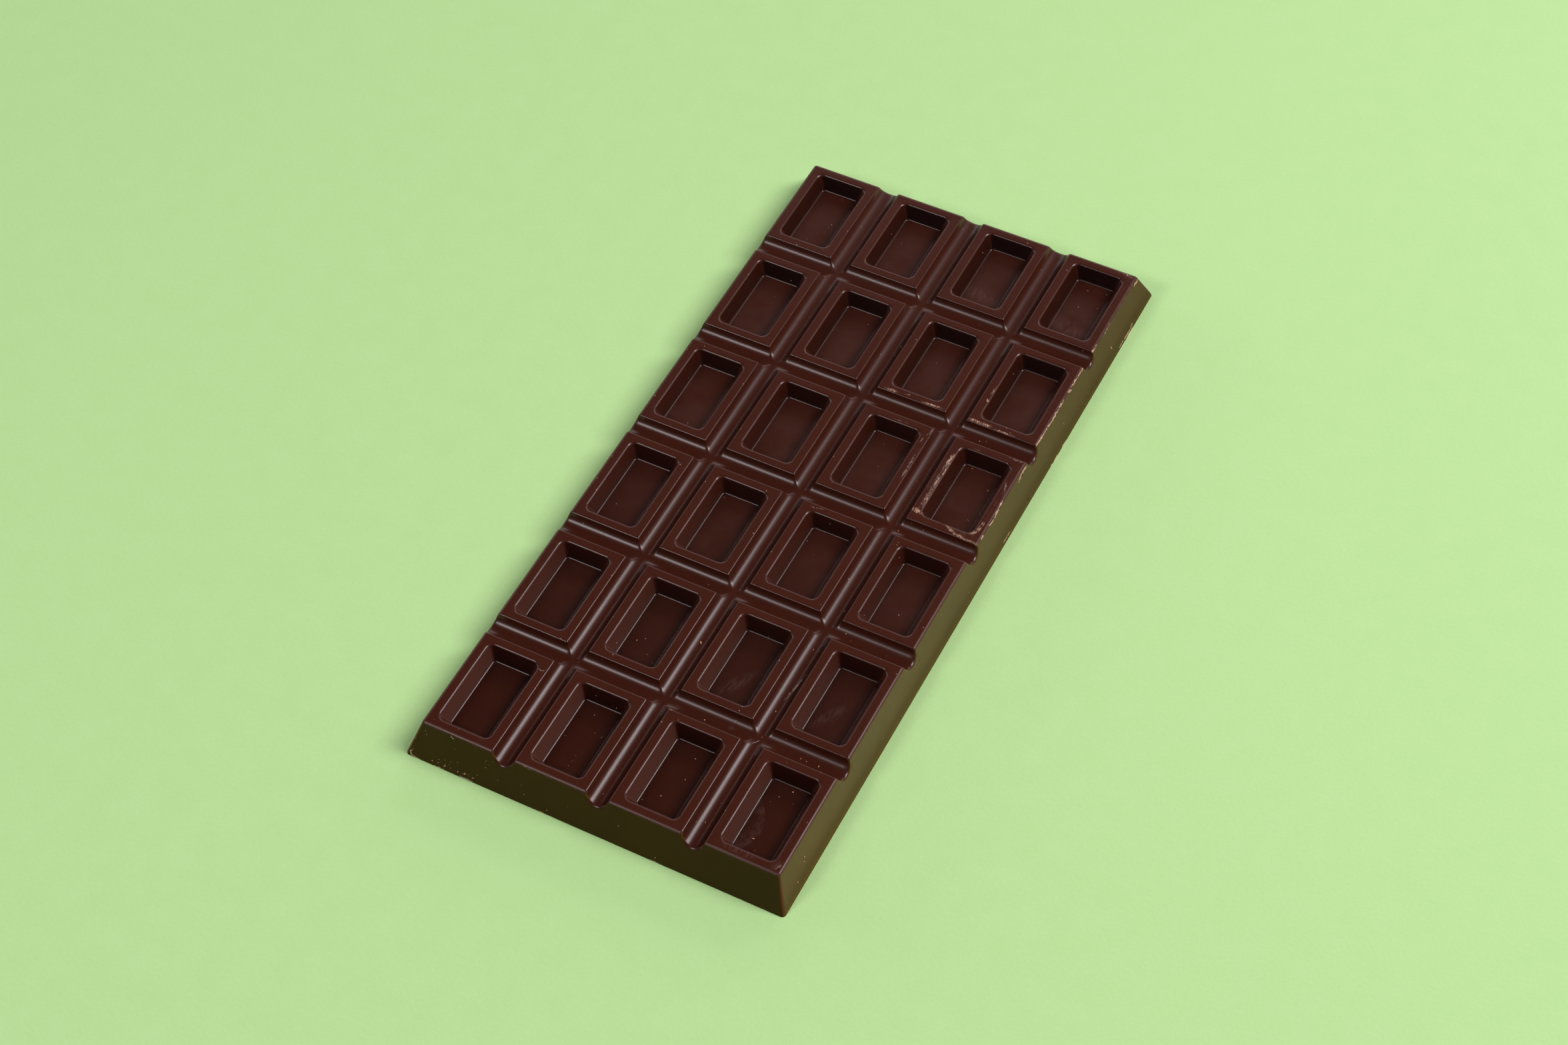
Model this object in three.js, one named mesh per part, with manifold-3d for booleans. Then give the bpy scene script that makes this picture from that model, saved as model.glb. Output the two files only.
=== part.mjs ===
// Dark chocolate tablet: one solid block with drafted sides, moulded into 4 x 6 pieces.
// Each piece is a flat frame round a recess with sloping walls, and round-bottomed
// channels part the pieces and run out through the sides.
// Millimetres, +Z up. The origin is the centre of the flat base, X runs across the
// columns and Y along the rows.
import * as THREE from "three";
import { mergeVertices } from "three/addons/utils/BufferGeometryUtils.js";
import Module from "manifold-3d";

// Layout of the pieces
const columns = 4;
const rows = 6;

// Block: its top face, its height, and how far the base stands out past the top
const topWidth = 74.0;
const topLength = 159.0;
const height = 7.6;
const sideDraft = 2.55;
const endDraft = 3.55;
const topCornerRadius = 0.4;
const baseCornerRadius = 1.9;

// Channels between the pieces: an arc a little shallower than a half circle
const channelWidth = 4.55;
const channelDepth = 2.02;
const channelFacets = 12;

// Recess in each piece, measured at its rim
const recessWidth = 11.05;
const recessLength = 18.97;
const recessDepth = 3.1;
const wallInset = 1.5;
const rimCornerRadius = 1.5;
const floorCornerRadius = 1.0;
const rimRounding = 0.28;
const floorRounding = 0.2;

// Fineness of the facets, and how far a cutter passes the surface it cuts
const cornerFacets = 4;
const roundingFacets = 2;
const cutterOverrun = 1.0;

// Worked out from the values above
const baseWidth = topWidth + 2 * sideDraft;
const baseLength = topLength + 2 * endDraft;
const pieceWidth = (topWidth - (columns - 1) * channelWidth) / columns;
const pieceLength = (topLength - (rows - 1) * channelWidth) / rows;
const columnPitch = pieceWidth + channelWidth;
const rowPitch = pieceLength + channelWidth;
const halfChannel = channelWidth / 2;
const channelRadius = (halfChannel ** 2 + channelDepth ** 2) / (2 * channelDepth);

const wasm = await Module();
wasm.setup();

// Points of a rectangle with rounded corners, anticlockwise, at one height
function roundedRing(width, length, radius, z) {
  const ring = [];
  const corners = [
    [1, 1],
    [-1, 1],
    [-1, -1],
    [1, -1],
  ];
  corners.forEach(([signX, signY], quarter) => {
    const centreX = signX * (width / 2 - radius);
    const centreY = signY * (length / 2 - radius);
    for (let step = 0; step <= cornerFacets; step += 1) {
      const angle = (quarter + step / cornerFacets) * (Math.PI / 2);
      const x = centreX + radius * Math.cos(angle);
      const y = centreY + radius * Math.sin(angle);
      ring.push(new THREE.Vector3(x, y, z));
    }
  });
  return ring;
}

// Closed skin through rings of equal point count, listed from the lowest up
function loft(rings) {
  const count = rings[0].length;
  const indices = [];
  for (let level = 0; level < rings.length - 1; level += 1) {
    for (let i = 0; i < count; i += 1) {
      const a = level * count + i;
      const b = level * count + ((i + 1) % count);
      indices.push(a, b, b + count, a, b + count, a + count);
    }
  }
  const topStart = (rings.length - 1) * count;
  for (let i = 1; i < count - 1; i += 1) {
    indices.push(0, i + 1, i);
    indices.push(topStart, topStart + i, topStart + i + 1);
  }
  const geometry = new THREE.BufferGeometry().setFromPoints(rings.flat());
  geometry.setIndex(indices);
  return geometry;
}

// three.js geometry to a manifold solid and back
function toSolid(geometry) {
  const bare = geometry.clone();
  bare.deleteAttribute("normal");
  bare.deleteAttribute("uv");
  const merged = mergeVertices(bare);
  return new wasm.Manifold(
    new wasm.Mesh({
      numProp: 3,
      vertProperties: new Float32Array(merged.attributes.position.array),
      triVerts: new Uint32Array(merged.index.array),
    }),
  );
}

function toGeometry(solid) {
  const mesh = solid.getMesh();
  const geometry = new THREE.BufferGeometry();
  geometry.setAttribute("position", new THREE.BufferAttribute(mesh.vertProperties, 3));
  geometry.setIndex(new THREE.BufferAttribute(mesh.triVerts, 1));
  geometry.computeVertexNormals();
  return geometry;
}

// Block with sides that slope outwards from the top face to the base
function blockGeometry() {
  return loft([
    roundedRing(baseWidth, baseLength, baseCornerRadius, 0),
    roundedRing(topWidth, topLength, topCornerRadius, height),
  ]);
}

// Round-bottomed cutter along Y, its mouth at the top face
function channelCutter(length) {
  const profile = new THREE.Shape();
  const centreHeight = height - channelDepth + channelRadius;
  const mouthAngle = Math.asin((centreHeight - height) / channelRadius);
  profile.moveTo(-halfChannel, height + cutterOverrun);
  profile.absarc(0, centreHeight, channelRadius, Math.PI + mouthAngle, -mouthAngle, false);
  profile.lineTo(halfChannel, height + cutterOverrun);
  const options = { depth: length, curveSegments: channelFacets, bevelEnabled: false };
  const cutter = new THREE.ExtrudeGeometry(profile, options);
  cutter.rotateX(Math.PI / 2);
  cutter.translate(0, length / 2, 0);
  return cutter;
}

// Cutter of one recess: a flat floor, sloping walls, and a rounding at floor and rim
function recessCutter() {
  const floorHeight = height - recessDepth;
  const slope = new THREE.Vector2(wallInset, recessDepth).normalize();
  const wall = new THREE.Path();
  wall.moveTo(wallInset + floorRounding, floorHeight);
  wall.quadraticCurveTo(
    wallInset,
    floorHeight,
    wallInset - slope.x * floorRounding,
    floorHeight + slope.y * floorRounding,
  );
  wall.lineTo(slope.x * rimRounding, height - slope.y * rimRounding);
  wall.quadraticCurveTo(0, height, -rimRounding, height);
  wall.lineTo(-rimRounding, height + cutterOverrun);
  const cornerChange = (floorCornerRadius - rimCornerRadius) / wallInset;
  const rings = wall.getPoints(roundingFacets).map(({ x: inset, y: z }) => {
    const radius = rimCornerRadius + cornerChange * inset;
    return roundedRing(recessWidth - 2 * inset, recessLength - 2 * inset, radius, z);
  });
  return loft(rings);
}

// Places of the lines or pieces that share one axis, centred on the origin
function centredPlaces(count, pitch) {
  return Array.from({ length: count }, (_, i) => (i - (count - 1) / 2) * pitch);
}

function chocolateGeometry() {
  let bar = toSolid(blockGeometry());
  const lengthwise = channelCutter(baseLength + 2 * cutterOverrun);
  for (const x of centredPlaces(columns - 1, columnPitch)) {
    bar = bar.subtract(toSolid(lengthwise.clone().translate(x, 0, 0)));
  }
  const crosswise = channelCutter(baseWidth + 2 * cutterOverrun).rotateZ(Math.PI / 2);
  for (const y of centredPlaces(rows - 1, rowPitch)) {
    bar = bar.subtract(toSolid(crosswise.clone().translate(0, y, 0)));
  }
  const recess = recessCutter();
  for (const x of centredPlaces(columns, columnPitch)) {
    for (const y of centredPlaces(rows, rowPitch)) {
      bar = bar.subtract(toSolid(recess.clone().translate(x, y, 0)));
    }
  }
  return toGeometry(bar);
}

const darkChocolate = new THREE.MeshStandardMaterial({
  color: 0x3e2018,
  roughness: 0.32,
  metalness: 0,
});

const bar = new THREE.Mesh(chocolateGeometry(), darkChocolate);
bar.name = "chocolate_bar";

const tablet = new THREE.Group();
tablet.add(bar);

export default tablet;
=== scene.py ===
import math
import random

import bmesh
import bpy
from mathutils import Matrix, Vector


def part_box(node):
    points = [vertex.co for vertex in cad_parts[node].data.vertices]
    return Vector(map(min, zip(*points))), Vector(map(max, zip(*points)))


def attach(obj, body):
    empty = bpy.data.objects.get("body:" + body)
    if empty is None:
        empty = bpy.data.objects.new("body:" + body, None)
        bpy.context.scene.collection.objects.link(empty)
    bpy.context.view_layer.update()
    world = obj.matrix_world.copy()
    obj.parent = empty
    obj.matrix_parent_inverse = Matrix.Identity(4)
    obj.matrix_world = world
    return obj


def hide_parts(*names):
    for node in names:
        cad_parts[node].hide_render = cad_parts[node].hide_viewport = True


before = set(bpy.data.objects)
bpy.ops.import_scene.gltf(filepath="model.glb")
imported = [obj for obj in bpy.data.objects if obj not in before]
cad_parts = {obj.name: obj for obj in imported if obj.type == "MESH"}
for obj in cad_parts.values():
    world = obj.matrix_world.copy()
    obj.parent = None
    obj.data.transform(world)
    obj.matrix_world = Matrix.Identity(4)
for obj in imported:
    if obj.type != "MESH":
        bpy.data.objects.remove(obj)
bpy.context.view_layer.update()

mm = 0.001
near = 0.002 * mm


# What the shape of the tablet follows; its outer size comes from the frame.
tablet = {
    "columns": 4,
    "rows": 6,
    "sideDraft": 2.55 * mm,          # how far the base stands out past the top, at the long sides
    "endDraft": 3.55 * mm,           # the same at the two ends
    "topCornerRadius": 0.55 * mm,
    "sideRings": (                   # height and corner radius of each ring down the sides
        (2.4 * mm, 0.6 * mm),
        (0.8 * mm, 0.66 * mm),
        (0.0, 0.8 * mm),
    ),
    "sideTop": 3.0 * mm,             # a height between the side walls' lowest ring and the recess floors
    "cornerSteps": 8,
    "borderStrip": 0.7 * mm,         # flat strip kept along the outer edge for its rounding
    "outerEdgeRounding": 0.48 * mm,
    "outerEdgeSteps": 5,
    "baseEdgeRounding": 0.12 * mm,
    "baseEdgeSteps": 3,
    "channelWidth": 4.55 * mm,
    "channelDepth": 2.02 * mm,
    "mouthRadius": 0.45 * mm,
    "mouthSteps": 5,
    "arcSteps": 8,
    "ridgeReach": 0.5 * mm,          # how far each side of a crossing's ridges is smoothed
    "ridgeSmoothing": 4,
    "ridgeSmoothingShare": 0.5,
    "smoothAngle": 38.0,             # degrees; what is sharper stays an edge
    "normalWeight": 50,
}

# The recess in each piece, measured at its rim.
recess = {
    "width": 11.05 * mm,
    "length": 18.97 * mm,
    "depth": 3.1 * mm,
    "wallInset": 1.5 * mm,
    "rimRadius": 0.68 * mm,
    "rimSteps": 6,
    "floorRadius": 0.42 * mm,
    "floorSteps": 6,
    "rimCornerRadius": 1.65 * mm,
    "floorCornerRadius": 0.45 * mm,
    "cornerSteps": 8,
}

low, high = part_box("chocolate_bar")
height = high[2] - low[2]
baseWidth = high[0] - low[0]
baseLength = high[1] - low[1]
topWidth = baseWidth - 2 * tablet["sideDraft"]
topLength = baseLength - 2 * tablet["endDraft"]
columnPitch = (topWidth + tablet["channelWidth"]) / tablet["columns"]
rowPitch = (topLength + tablet["channelWidth"]) / tablet["rows"]


def centredPlaces(count, pitch):
    return [(i - (count - 1) / 2) * pitch for i in range(count)]


columnPlaces = centredPlaces(tablet["columns"], columnPitch)
rowPlaces = centredPlaces(tablet["rows"], rowPitch)
lengthwisePlaces = centredPlaces(tablet["columns"] - 1, columnPitch)
crosswisePlaces = centredPlaces(tablet["rows"] - 1, rowPitch)


def deselectObjects():
    bpy.ops.object.select_all(action="DESELECT")


def makeActive(piece):
    deselectObjects()
    piece.select_set(True)
    bpy.context.view_layer.objects.active = piece


def openEdit(piece):
    makeActive(piece)
    bpy.ops.object.mode_set(mode="EDIT")


def closeEdit():
    bpy.ops.object.mode_set(mode="OBJECT")


def selectAll():
    bpy.ops.mesh.select_all(action="SELECT")


def fixPlace():
    bpy.ops.object.transform_apply(location=True, rotation=True, scale=True)


def namePiece(name):
    piece = bpy.context.active_object
    piece.name = name
    piece.data.name = name
    return piece


def pick(piece, kind, test):
    # Selects the vertices, edges or faces that pass the test
    bpy.ops.mesh.select_mode(type=kind)
    bpy.ops.mesh.select_all(action="DESELECT")
    mesh = bmesh.from_edit_mesh(piece.data)
    parts = {"VERT": mesh.verts, "EDGE": mesh.edges, "FACE": mesh.faces}[kind]
    for part in parts:
        if test(part):
            part.select_set(True)
    mesh.select_flush_mode()
    bmesh.update_edit_mesh(piece.data, loop_triangles=False, destructive=False)


def roundParts(kind, radius, steps):
    bpy.ops.mesh.bevel(offset=radius, segments=steps, affect=kind, clamp_overlap=False, loop_slide=True)


def channelProfile():
    # Offset from the centre line and depth, from the flat top down to the channel's bottom:
    # a small rounding at the mouth, then the arc of the channel itself.
    half = tablet["channelWidth"] / 2
    depth = tablet["channelDepth"]
    mouth = tablet["mouthRadius"]
    radius = (half ** 2 + depth ** 2) / (2 * depth)
    rise = radius - depth
    mouthCentre = math.sqrt((radius + mouth) ** 2 - (rise + mouth) ** 2)
    leave = math.atan2(mouthCentre, rise + mouth)
    points = []
    for step in range(tablet["mouthSteps"] + 1):
        turn = leave * step / tablet["mouthSteps"]
        points.append((mouthCentre - mouth * math.sin(turn), mouth - mouth * math.cos(turn)))
    for step in range(1, tablet["arcSteps"] + 1):
        turn = leave * (1 - step / tablet["arcSteps"])
        points.append((radius * math.sin(turn), radius * math.cos(turn) - rise))
    return points


def nearestOffset(place, lines):
    return min(abs(place - line) for line in lines)


def acrossOffset(place):
    return nearestOffset(place.x, lengthwisePlaces)


def alongOffset(place):
    return nearestOffset(place.y, crosswisePlaces)


def cutLine(place, axis):
    point = [0.0, 0.0, height]
    normal = [0.0, 0.0, 0.0]
    point[axis] = place
    normal[axis] = 1.0
    selectAll()
    bpy.ops.mesh.bisect(plane_co=point, plane_no=normal, threshold=near / 10)


def buildSheet(profile):
    deselectObjects()
    bpy.ops.mesh.primitive_plane_add(size=1, location=(0, 0, height))
    sheet = namePiece("dark_tablet")
    bpy.ops.transform.resize(value=(topWidth, topLength, 1))
    fixPlace()
    openEdit(sheet)
    strip = tablet["borderStrip"]
    for axis, lines, reach in ((0, lengthwisePlaces, topWidth / 2), (1, crosswisePlaces, topLength / 2)):
        cutLine(reach - strip, axis)
        cutLine(strip - reach, axis)
        for line in lines:
            for offset, _ in profile[:-1]:
                cutLine(line - offset, axis)
                cutLine(line + offset, axis)
            cutLine(line, axis)
    return sheet


def sinkChannels(sheet, profile):
    # Each step pushes down all that lies inside its line, so that crossings are mitred.
    reached = 0.0
    for offset, depth in profile[1:]:
        reach = offset + near
        pick(sheet, "VERT", lambda v: min(acrossOffset(v.co), alongOffset(v.co)) < reach)
        bpy.ops.transform.translate(value=(0, 0, reached - depth))
        reached = depth


def roundRidges(sheet, profile):
    # The quads along each ridge are split the ridge's way, and the ridge is then softened.
    mouth = profile[0][0]

    def onRidge(face):
        centre = face.calc_center_median()
        across, along = acrossOffset(centre), alongOffset(centre)
        return max(across, along) < mouth and abs(across - along) < near

    def besideRidge(vertex):
        across, along = acrossOffset(vertex.co), alongOffset(vertex.co)
        return max(across, along) < mouth + near and abs(across - along) < tablet["ridgeReach"]

    pick(sheet, "FACE", onRidge)
    bpy.ops.mesh.quads_convert_to_tris(quad_method="LONGEST_DIAGONAL")
    pick(sheet, "VERT", besideRidge)
    share, repeats = tablet["ridgeSmoothingShare"], tablet["ridgeSmoothing"]
    bpy.ops.mesh.vertices_smooth(factor=share, repeat=repeats, xaxis=False, yaxis=False, zaxis=True)


def leanBorder(sheet, profile):
    # Where a channel runs out, its end follows the slope of the side.
    longSide = (0, topWidth / 2, tablet["sideDraft"])
    shortSide = (1, topLength / 2, tablet["endDraft"])
    for axis, reach, draft in (longSide, shortSide):
        for side in (-1, 1):
            for _, depth in profile[1:]:
                level = height - depth
                border = side * reach
                pick(sheet, "VERT", lambda v: abs(v.co[axis] - border) < near and abs(v.co.z - level) < near)
                move = [0.0, 0.0, 0.0]
                move[axis] = side * draft * depth / height
                bpy.ops.transform.translate(value=move)


def recessProfile():
    # Inset from the rim and depth, from the flat frame down to the flat floor.
    slope = math.atan2(recess["depth"], recess["wallInset"])
    rim, floor = recess["rimRadius"], recess["floorRadius"]
    rimStart = rim * math.tan(slope / 2)
    floorStart = floor * math.tan(slope / 2)
    points = []
    for step in range(recess["rimSteps"] + 1):
        turn = slope * step / recess["rimSteps"]
        points.append((rim * math.sin(turn) - rimStart, rim - rim * math.cos(turn)))
    for step in range(recess["floorSteps"] + 1):
        turn = slope * (1 - step / recess["floorSteps"])
        inset = recess["wallInset"] + floorStart - floor * math.sin(turn)
        points.append((inset, recess["depth"] - floor + floor * math.cos(turn)))
    return points


def moveCorners(piece, level, before, after):
    # The rounded corners of the newest ring move to their place and take their new radius.
    (halfX, halfY), radius = before
    (newX, newY), newRadius = after
    grow = newRadius / radius
    for sideX in (-1, 1):
        for sideY in (-1, 1):
            oldPlace = Vector((sideX * (halfX - radius), sideY * (halfY - radius), level))
            newPlace = Vector((sideX * (newX - newRadius), sideY * (newY - newRadius), level))
            pick(
                piece,
                "VERT",
                lambda v: abs(v.co.z - level) < near
                and (v.co.x - oldPlace.x) * sideX > -near
                and (v.co.y - oldPlace.y) * sideY > -near,
            )
            bpy.ops.transform.resize(value=(grow, grow, 1), center_override=oldPlace)
            bpy.ops.transform.translate(value=newPlace - oldPlace)


def pickRing(piece, level):
    pick(piece, "EDGE", lambda e: all(abs(v.co.z - level) < near / 10 for v in e.verts))


def dropRing(fall):
    bpy.ops.mesh.extrude_edges_move(TRANSFORM_OT_translate={"value": (0, 0, fall)})


def buildRecess():
    profile = recessProfile()
    rimCorner, floorCorner = recess["rimCornerRadius"], recess["floorCornerRadius"]
    firstInset, lastInset = profile[0][0], profile[-1][0]
    rings = []
    for inset, depth in profile:
        halves = (recess["width"] / 2 - inset, recess["length"] / 2 - inset)
        share = (inset - firstInset) / (lastInset - firstInset)
        rings.append((height - depth, (halves, rimCorner + (floorCorner - rimCorner) * share)))
    deselectObjects()
    bpy.ops.mesh.primitive_plane_add(size=2, location=(0, 0, height))
    piece = namePiece("recess")
    halfX, halfY = rings[0][1][0]
    bpy.ops.transform.resize(value=(halfX, halfY, 1))
    fixPlace()
    openEdit(piece)
    selectAll()
    roundParts("VERTICES", rimCorner, recess["cornerSteps"])
    selectAll()
    bpy.ops.mesh.delete(type="ONLY_FACE")
    for (reached, before), (level, after) in zip(rings, rings[1:]):
        pickRing(piece, reached)
        dropRing(level - reached)
        moveCorners(piece, level, before, after)
    pickRing(piece, level)
    bpy.ops.mesh.edge_face_add()
    closeEdit()
    return piece


def fitRecesses(sheet):
    # The frame faces make room, one recess is copied into each, and the flat rings are filled.
    strip = tablet["borderStrip"]
    openEdit(sheet)

    def isFrame(face):
        return face.calc_area() > recess["width"] * recess["length"]

    pick(sheet, "FACE", isFrame)
    bpy.ops.mesh.delete(type="ONLY_FACE")
    closeEdit()
    first = buildRecess()
    copies = [first]
    for x in columnPlaces:
        for y in rowPlaces:
            makeActive(first)
            bpy.ops.object.duplicate(linked=False)
            copy = bpy.context.active_object
            bpy.ops.transform.translate(value=(x, y, 0))
            copies.append(copy)
    copies.remove(first)
    bpy.data.objects.remove(first)
    makeActive(sheet)
    for copy in copies:
        copy.select_set(True)
    bpy.ops.object.join()
    openEdit(sheet)

    def isOpenInside(edge):
        first, last = (v.co for v in edge.verts)
        place = (first + last) / 2
        inside = abs(place.x) < topWidth / 2 - strip / 2 and abs(place.y) < topLength / 2 - strip / 2
        return edge.is_boundary and inside

    pick(sheet, "EDGE", isOpenInside)
    bpy.ops.mesh.fill(use_beauty=True)


def roundTopCorners(sheet):
    reachX, reachY = topWidth / 2 - near, topLength / 2 - near
    pick(sheet, "VERT", lambda v: abs(v.co.x) > reachX and abs(v.co.y) > reachY)
    roundParts("VERTICES", tablet["topCornerRadius"], tablet["cornerSteps"])


def halfSizes(level):
    # Half the width and half the length of the block at one height
    share = (height - level) / height
    return (topWidth / 2 + tablet["sideDraft"] * share, topLength / 2 + tablet["endDraft"] * share)


def moveStraights(sheet, level, before, after):
    # The straight stretches between the corners move out to the sloping side's plane.
    halves, newRadius = after
    for axis in (0, 1):
        inner = before[0][axis] - near
        outer = halves[axis]
        limit = halves[1 - axis] - newRadius - near
        for side in (-1, 1):
            pick(
                sheet,
                "VERT",
                lambda v: abs(v.co.z - level) < near
                and inner < v.co[axis] * side < outer - near
                and abs(v.co[1 - axis]) < limit,
            )
            flatten = [1.0, 1.0, 1.0]
            flatten[axis] = 0.0
            centre = [0.0, 0.0, 0.0]
            centre[axis] = side * outer
            bpy.ops.transform.resize(value=flatten, center_override=centre)


def dropSides(sheet):
    before = (halfSizes(height), tablet["topCornerRadius"])
    reached = height
    for level, radius in tablet["sideRings"]:
        after = (halfSizes(level), radius)
        pick(sheet, "EDGE", lambda e: e.is_boundary)
        dropRing(level - reached)
        bpy.ops.transform.resize(value=(1, 1, 0), center_override=(0, 0, level))
        moveCorners(sheet, level, before, after)
        moveStraights(sheet, level, before, after)
        before = after
        reached = level
    pick(sheet, "EDGE", lambda e: e.is_boundary)
    bpy.ops.mesh.edge_face_add()


def isOuterEdge(edge):
    # An edge between the moulded top and a side wall
    if len(edge.link_faces) != 2:
        return False
    low, high = sorted(min(v.co.z for v in face.verts) for face in edge.link_faces)
    return low < tablet["sideTop"] < high


def roundOuterEdges(sheet):
    pick(sheet, "EDGE", isOuterEdge)
    roundParts("EDGES", tablet["outerEdgeRounding"], tablet["outerEdgeSteps"])
    pick(sheet, "EDGE", lambda e: all(v.co.z < near for v in e.verts))
    roundParts("EDGES", tablet["baseEdgeRounding"], tablet["baseEdgeSteps"])


# Small pieces broken out of the edges by lumps of irregular shape
chips = {
    "seed": 5,
    "fineness": 3,
    "radius": 0.5 * mm,              # of a lump before it takes its size
    "jag": 0.16,                     # how irregular it is, as a share of that
    "turn": 0.12,                    # the most it is turned, in radians
    "lumps": (                       # place in millimetres, then size along X, Y and Z
        ((37.25, 45.6, 7.5), (0.9, 1, 0.8)), ((37.4, 50.8, 7.3), (0.5, 2.2, 0.5)),
        ((37.35, 41, 7.35), (0.5, 2.6, 0.5)), ((37.4, 37.2, 7.25), (0.5, 1.7, 0.5)),
        ((37.35, 32.6, 7.35), (0.5, 2.4, 0.5)), ((37.6, 22.6, 6.7), (0.6, 2.6, 0.9)),
        ((37.45, 12.4, 7.2), (0.6, 2.6, 0.6)), ((37.6, 9, 6.9), (0.6, 2.2, 0.8)),
        ((37.35, 4.6, 7.35), (0.5, 0.9, 0.5)), ((37.3, 57.6, 7.45), (0.6, 1, 0.6)),
        ((37.35, 78.4, 7.3), (0.5, 1.5, 0.5)), ((39.6, 32.1, 0), (0.5, 1.1, 0.6)),
        ((39.6, 37.9, 0), (0.35, 1.6, 0.35)), ((39.6, 70.6, 0), (0.35, 2, 0.35)),
        ((-14.6, -79.9, 7.4), (1.6, 0.5, 0.45)), ((-10.9, -79.85, 7.45), (1.1, 0.4, 0.35)),
        ((-6.8, -79.85, 7.45), (1.5, 0.4, 0.35)), ((-26.5, -83.2, 0), (2, 0.5, 0.4)),
        ((-32.3, -83.2, 0), (1.6, 0.45, 0.35)), ((12.9, 80, 7.5), (1.3, 0.7, 0.7)),
        ((16.2, 79.9, 7.6), (0.8, 0.6, 0.5)),
    ),
}


def addLump(centre, radius, values, seed, sizes):
    # A ball with a broken surface, stretched to its size
    bpy.ops.mesh.select_all(action="DESELECT")
    bpy.ops.mesh.primitive_ico_sphere_add(subdivisions=values["fineness"], radius=radius, location=centre)
    bpy.ops.transform.vertex_random(offset=values["jag"] * radius, uniform=1.0, normal=0.0, seed=seed)
    bpy.ops.transform.resize(value=sizes, center_override=centre)


def chipEdges(sheet):
    draw = random.Random(chips["seed"])
    deselectObjects()
    bpy.ops.object.add(type="MESH", location=(0, 0, 0))
    cutter = namePiece("chip_cutter")
    openEdit(cutter)
    for number, (place, sizes) in enumerate(chips["lumps"]):
        centre = Vector(place) * mm
        addLump(centre, chips["radius"], chips, number, sizes)
        turn = draw.uniform(-chips["turn"], chips["turn"])
        bpy.ops.transform.rotate(value=turn, orient_axis="Z", center_override=centre)
    closeEdit()
    makeActive(sheet)
    bpy.ops.object.modifier_add(type="BOOLEAN")
    cut = sheet.modifiers[-1]
    cut.operation = "DIFFERENCE"
    cut.solver = "EXACT"
    cut.object = cutter
    bpy.ops.object.modifier_apply(modifier=cut.name)
    bpy.data.objects.remove(cutter)
    openEdit(sheet)
    selectAll()
    bpy.ops.mesh.dissolve_degenerate(threshold=near / 10)
    closeEdit()


def buildTablet():
    profile = channelProfile()
    sheet = buildSheet(profile)
    sinkChannels(sheet, profile)
    roundRidges(sheet, profile)
    leanBorder(sheet, profile)
    closeEdit()
    fitRecesses(sheet)
    roundTopCorners(sheet)
    dropSides(sheet)
    roundOuterEdges(sheet)
    selectAll()
    bpy.ops.mesh.normals_make_consistent(inside=False)
    closeEdit()
    chipEdges(sheet)
    makeActive(sheet)
    bpy.ops.object.shade_smooth_by_angle(angle=math.radians(tablet["smoothAngle"]))
    bpy.ops.object.modifier_add(type="WEIGHTED_NORMAL")
    weighted = sheet.modifiers[-1]
    weighted.keep_sharp = True
    weighted.weight = tablet["normalWeight"]
    bpy.ops.object.modifier_apply(modifier=weighted.name)
    return sheet


darkTablet = buildTablet()
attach(darkTablet, "root")
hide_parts("chocolate_bar")
print("tablet:", len(darkTablet.data.polygons), "faces")


def newMaterial(name):
    # A material with its shader and the places on the object
    material = bpy.data.materials.new(name)
    material.use_nodes = True
    tree = material.node_tree
    place = addNode("ShaderNodeTexCoord", {}, tree).outputs["Object"]
    return material, tree.nodes["Principled BSDF"], place


def isSocket(value):
    return isinstance(value, bpy.types.NodeSocket)


def feed(node, values):
    # Gives the named or numbered inputs of a node their links or plain values
    for key, value in values.items():
        if isSocket(value):
            node.id_data.links.new(value, node.inputs[key])
        else:
            node.inputs[key].default_value = value


def addNode(kind, values, tree=None, **settings):
    # Adds a node to the given tree, or else to that of the sockets which feed it
    tree = tree or next(value.id_data for value in values.values() if isSocket(value))
    node = tree.nodes.new(kind)
    for setting, value in settings.items():
        setattr(node, setting, value)
    feed(node, values)
    return node


def calculate(operation, first, second=0.0, third=0.0, clamp=False):
    values = {0: first, 1: second, 2: third}
    return addNode("ShaderNodeMath", values, operation=operation, use_clamp=clamp).outputs[0]


def times(first, *others):
    for other in others:
        first = calculate("MULTIPLY", first, other)
    return first


def rest(share):
    return calculate("SUBTRACT", 1.0, share)


def distance(value):
    return calculate("ABSOLUTE", value)


def combine(operation, first, second):
    return addNode("ShaderNodeVectorMath", {0: first, 1: second}, operation=operation).outputs[0]


def mixColour(share, first, second):
    # Inputs 6 and 7 take the colours, output 2 gives the mixture.
    first, second = (value if isSocket(value) else (*value, 1) for value in (first, second))
    return addNode("ShaderNodeMix", {"Factor": share, 6: first, 7: second}, data_type="RGBA").outputs[2]


def blotches(place, scale, detail=2.0, roughness=0.5):
    values = {"Vector": place, "Scale": scale, "Detail": detail, "Roughness": roughness}
    return addNode("ShaderNodeTexNoise", values).outputs["Fac"]


def ramp(value, start, end):
    # 0 at the start and before it, 1 at the end and past it, smooth between
    values = {"Value": value, "From Min": start, "From Max": end}
    return addNode("ShaderNodeMapRange", values, interpolation_type="SMOOTHSTEP").outputs["Result"]


def relief(height):
    return addNode("ShaderNodeBump", {"Height": height, "Strength": 1.0, "Distance": 1.0}).outputs["Normal"]


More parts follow.
